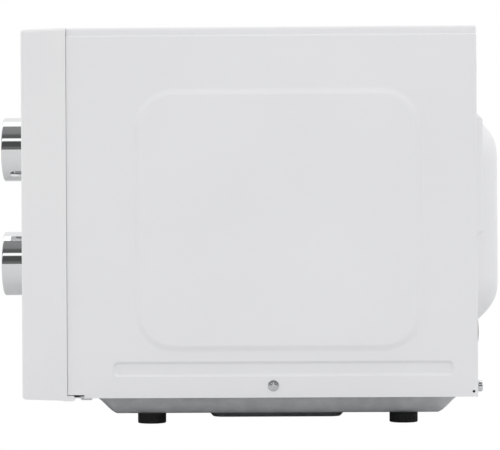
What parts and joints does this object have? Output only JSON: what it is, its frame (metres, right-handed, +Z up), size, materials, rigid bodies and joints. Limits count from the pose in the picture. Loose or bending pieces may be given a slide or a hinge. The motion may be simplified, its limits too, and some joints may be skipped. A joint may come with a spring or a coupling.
{
  "type": "microwave oven",
  "caption": "Countertop microwave oven with side-hinged door, push-button latch, two rotary dials, turntable and domed rear.",
  "frame": {"origin": "middle of the overall box, at the underside of the feet", "axes": "+X towards the control side, -Y out of the door, +Z up"},
  "size_m": [0.44, 0.3438, 0.2582],
  "materials": {
    "white_powder_coat": "smooth white powder coat on steel sheet",
    "white_abs": "satin moulded white plastic",
    "chrome_plating": "bright plated",
    "zinc_plated_steel": "dull zinc plate",
    "cavity_paint": "light grey oven paint",
    "tinted_glass": "dark tinted polished",
    "clear_glass": "clear pressed glass",
    "black_polypropylene": "moulded, matt black",
    "grey_nylon": "moulded, satin grey",
    "enamelled_copper": "varnished winding wire",
    "mica_sheet": "pressed mica board",
    "varnished_laminations": "stacked plates under dark varnish",
    "bare_aluminium": "drawn, bare",
    "circuit_board": "lacquered board with parts",
    "black_rubber": "moulded rubber"
  },
  "bodies": {
    "chassis": {"base_plate": "zinc_plated_steel", "capacitor": "bare_aluminium", "capacitor_clamp": "zinc_plated_steel", "cavity_back_wall": "cavity_paint", "cavity_ceiling": "cavity_paint", "cavity_floor": "cavity_paint", "cavity_lamp": "clear_glass", "cavity_left_wall": "cavity_paint", "cavity_right_wall": "cavity_paint", "control_panel": "white_abs", "cord_gland": "black_polypropylene", "fan_motor": "varnished_laminations", "fan_shroud": "grey_nylon", "filter_board": "circuit_board", "foot_front_left": "black_rubber", "foot_front_right": "black_rubber", "foot_rear_left": "black_rubber", "foot_rear_right": "black_rubber", "front_plate": "zinc_plated_steel", "hinge_lower": "zinc_plated_steel", "hinge_upper": "zinc_plated_steel", "interlock_switch_monitor": "black_polypropylene", "interlock_switch_primary": "black_polypropylene", "interlock_switch_secondary": "black_polypropylene", "latch_bracket": "grey_nylon", "magnetron_anode": "bare_aluminium", "magnetron_filter_box": "zinc_plated_steel", "magnetron_yoke": "zinc_plated_steel", "outer_cabinet": "white_powder_coat", "power_selector": "grey_nylon", "primary_winding": "enamelled_copper", "rear_panel": "white_powder_coat", "rear_screw_left": "zinc_plated_steel", "rear_screw_right": "zinc_plated_steel", "secondary_winding": "enamelled_copper", "side_screw_left": "zinc_plated_steel", "side_screw_right": "zinc_plated_steel", "timer": "grey_nylon", "transformer_core": "varnished_laminations", "turntable_motor": "zinc_plated_steel", "waveguide": "zinc_plated_steel", "waveguide_cover": "mica_sheet"},
    "door": {"door_frame": "white_abs", "door_glass": "tinted_glass", "door_steel_panel": "cavity_paint", "door_choke_cover": "grey_nylon"},
    "door_latch": {"latch_hooks": "black_polypropylene"},
    "push_button": {"door_button": "white_abs"},
    "latch_lever": {"release_lever": "black_polypropylene"},
    "power_dial": {"power_knob": "chrome_plating", "selector_shaft": "zinc_plated_steel"},
    "timer_dial": {"timer_knob": "chrome_plating", "timer_shaft": "zinc_plated_steel"},
    "fan": {"fan_blade": "black_polypropylene"},
    "table_drive": {"drive_coupler": "grey_nylon"},
    "table_plate": {"glass_turntable": "clear_glass"},
    "roller_carrier": {"roller_ring": "grey_nylon"},
    "roller_1": {"roller_wheel_1": "grey_nylon"},
    "roller_2": {"roller_wheel_2": "grey_nylon"},
    "roller_3": {"roller_wheel_3": "grey_nylon"}
  },
  "joints": [
    {"name": "door_swing", "type": "hinge", "parent": "chassis", "child": "door", "pos_m": [-0.2125, -0.13235, 0.1375], "axis": [0, 0, -1], "range_deg": [0, 95]},
    {"name": "latch_lift", "type": "slide", "parent": "door", "child": "door_latch", "axis": [0, 0, 1], "range_m": [0, 0.0035]},
    {"name": "button_press", "type": "slide", "parent": "chassis", "child": "push_button", "axis": [0, 1, 0], "range_m": [0, 0.005], "stiffness_N_per_m": 300, "springref_m": -0.004},
    {"name": "lever_turn", "type": "hinge", "parent": "chassis", "child": "latch_lever", "pos_m": [0.1194, -0.11735, 0.062], "axis": [1, 0, 0], "range_deg": [0, 18]},
    {"name": "power_turn", "type": "hinge", "parent": "chassis", "child": "power_dial", "pos_m": [0.164, -0.15335, 0.1814], "axis": [0, 1, 0], "range_deg": [-284, 0]},
    {"name": "timer_turn", "type": "hinge", "parent": "chassis", "child": "timer_dial", "pos_m": [0.164, -0.15335, 0.10515], "axis": [0, 1, 0], "range_deg": [-32, 268]},
    {"name": "fan_spin", "type": "hinge", "parent": "chassis", "child": "fan", "pos_m": [0.155, 0.08275, 0.162], "axis": [0, 1, 0], "continuous": true},
    {"name": "table_turn", "type": "hinge", "parent": "chassis", "child": "table_drive", "pos_m": [-0.055, 0.00865, 0.038], "axis": [0, 0, 1], "continuous": true},
    {"name": "plate_lift", "type": "slide", "parent": "table_drive", "child": "table_plate", "axis": [0, 0, 1], "range_m": [0, 0.03]},
    {"name": "carrier_turn", "type": "hinge", "parent": "chassis", "child": "roller_carrier", "pos_m": [-0.055, 0.00865, 0.0453], "axis": [0, 0, 1], "continuous": true},
    {"name": "roller_turn_1", "type": "hinge", "parent": "roller_carrier", "child": "roller_1", "pos_m": [-0.055, 0.09915, 0.0453], "axis": [0, 1, 0], "continuous": true},
    {"name": "roller_turn_2", "type": "hinge", "parent": "roller_carrier", "child": "roller_2", "pos_m": [-0.13338, -0.0366, 0.0453], "axis": [-0.866, -0.5, 0], "continuous": true},
    {"name": "roller_turn_3", "type": "hinge", "parent": "roller_carrier", "child": "roller_3", "pos_m": [0.02338, -0.0366, 0.0453], "axis": [0.866, -0.5, 0], "continuous": true}
  ],
  "couplings": [
    {"joint": "latch_lift", "follows": "button_press", "ratio": 0.7},
    {"joint": "lever_turn", "follows": "button_press", "rad_per_m": 62},
    {"joint": "carrier_turn", "follows": "table_turn", "ratio": 0.5},
    {"joint": "roller_turn_1", "follows": "table_turn", "ratio": -6.4643},
    {"joint": "roller_turn_2", "follows": "table_turn", "ratio": -6.4643},
    {"joint": "roller_turn_3", "follows": "table_turn", "ratio": -6.4643}
  ]
}
